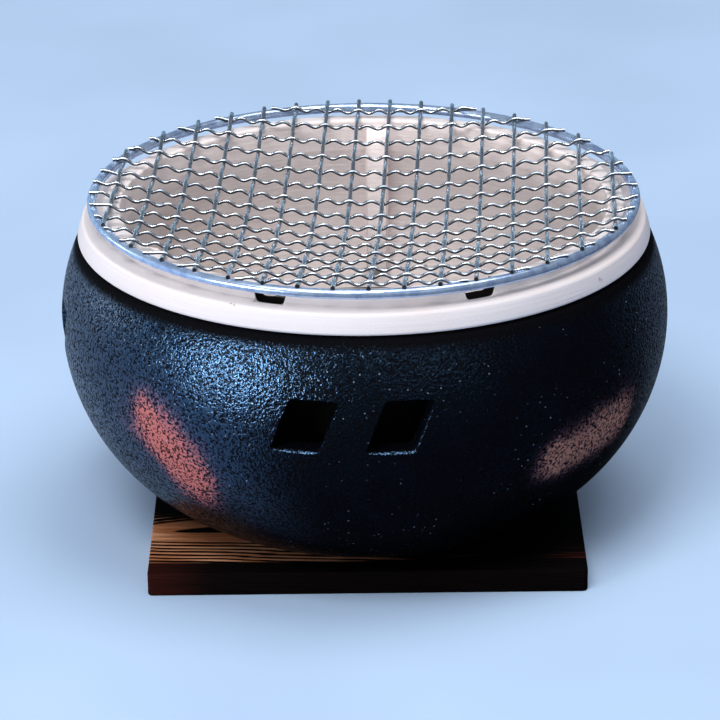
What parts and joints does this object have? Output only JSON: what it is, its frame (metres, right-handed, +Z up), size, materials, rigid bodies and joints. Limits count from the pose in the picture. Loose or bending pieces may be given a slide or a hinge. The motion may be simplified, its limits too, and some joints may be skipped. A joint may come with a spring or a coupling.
{
  "type": "charcoal brazier",
  "caption": "Round table charcoal brazier: glazed pot with slanted draught windows, collared ceramic fire bowl, iron grate and dished wire net on a scorched board.",
  "frame": {"origin": "centre of the board's underside, on the pot's axis", "axes": "+Z up along the pot's axis, -Y towards the front, where the two notches in the fire bowl's lip are"},
  "size_m": [0.2436, 0.2438, 0.1384],
  "materials": {
    "scorched_wood": "scorched and brushed, open grain",
    "pot_glaze": "iron-black glaze with orange-peel texture and reddish fired patches",
    "bowl_clay": "unglazed pale clay, matt",
    "grate_iron": "sooty cast iron",
    "rim_steel": "bright plated rod",
    "wire_steel": "galvanised wire"
  },
  "bodies": {
    "board": {"board": "scorched_wood"},
    "pot": {"pot": "pot_glaze"},
    "bowl": {"fire_bowl": "bowl_clay"},
    "grate": {"charcoal_grate": "grate_iron"},
    "net": {"net_rim": "rim_steel", "straight_wire_01": "wire_steel", "straight_wire_02": "wire_steel", "straight_wire_03": "wire_steel", "straight_wire_04": "wire_steel", "straight_wire_05": "wire_steel", "straight_wire_06": "wire_steel", "straight_wire_07": "wire_steel", "straight_wire_08": "wire_steel", "straight_wire_09": "wire_steel", "straight_wire_10": "wire_steel", "straight_wire_11": "wire_steel", "straight_wire_12": "wire_steel", "straight_wire_13": "wire_steel", "straight_wire_14": "wire_steel", "straight_wire_15": "wire_steel", "straight_wire_16": "wire_steel", "crimped_wire_01": "wire_steel", "crimped_wire_02": "wire_steel", "crimped_wire_03": "wire_steel", "crimped_wire_04": "wire_steel", "crimped_wire_05": "wire_steel", "crimped_wire_06": "wire_steel", "crimped_wire_07": "wire_steel", "crimped_wire_08": "wire_steel", "crimped_wire_09": "wire_steel", "crimped_wire_10": "wire_steel", "crimped_wire_11": "wire_steel", "crimped_wire_12": "wire_steel", "crimped_wire_13": "wire_steel", "crimped_wire_14": "wire_steel", "crimped_wire_15": "wire_steel", "crimped_wire_16": "wire_steel"}
  },
  "joints": [
    {"name": "pot_lift", "type": "slide", "parent": "board", "child": "pot", "axis": [0, 0, 1], "range_m": [0, 0.05]},
    {"name": "bowl_lift", "type": "slide", "parent": "pot", "child": "bowl", "axis": [0, 0, 1], "range_m": [0, 0.08]},
    {"name": "grate_lift", "type": "slide", "parent": "bowl", "child": "grate", "axis": [0, 0, 1], "range_m": [0, 0.045]},
    {"name": "net_lift", "type": "slide", "parent": "bowl", "child": "net", "axis": [0, 0, 1], "range_m": [0, 0.08]}
  ]
}
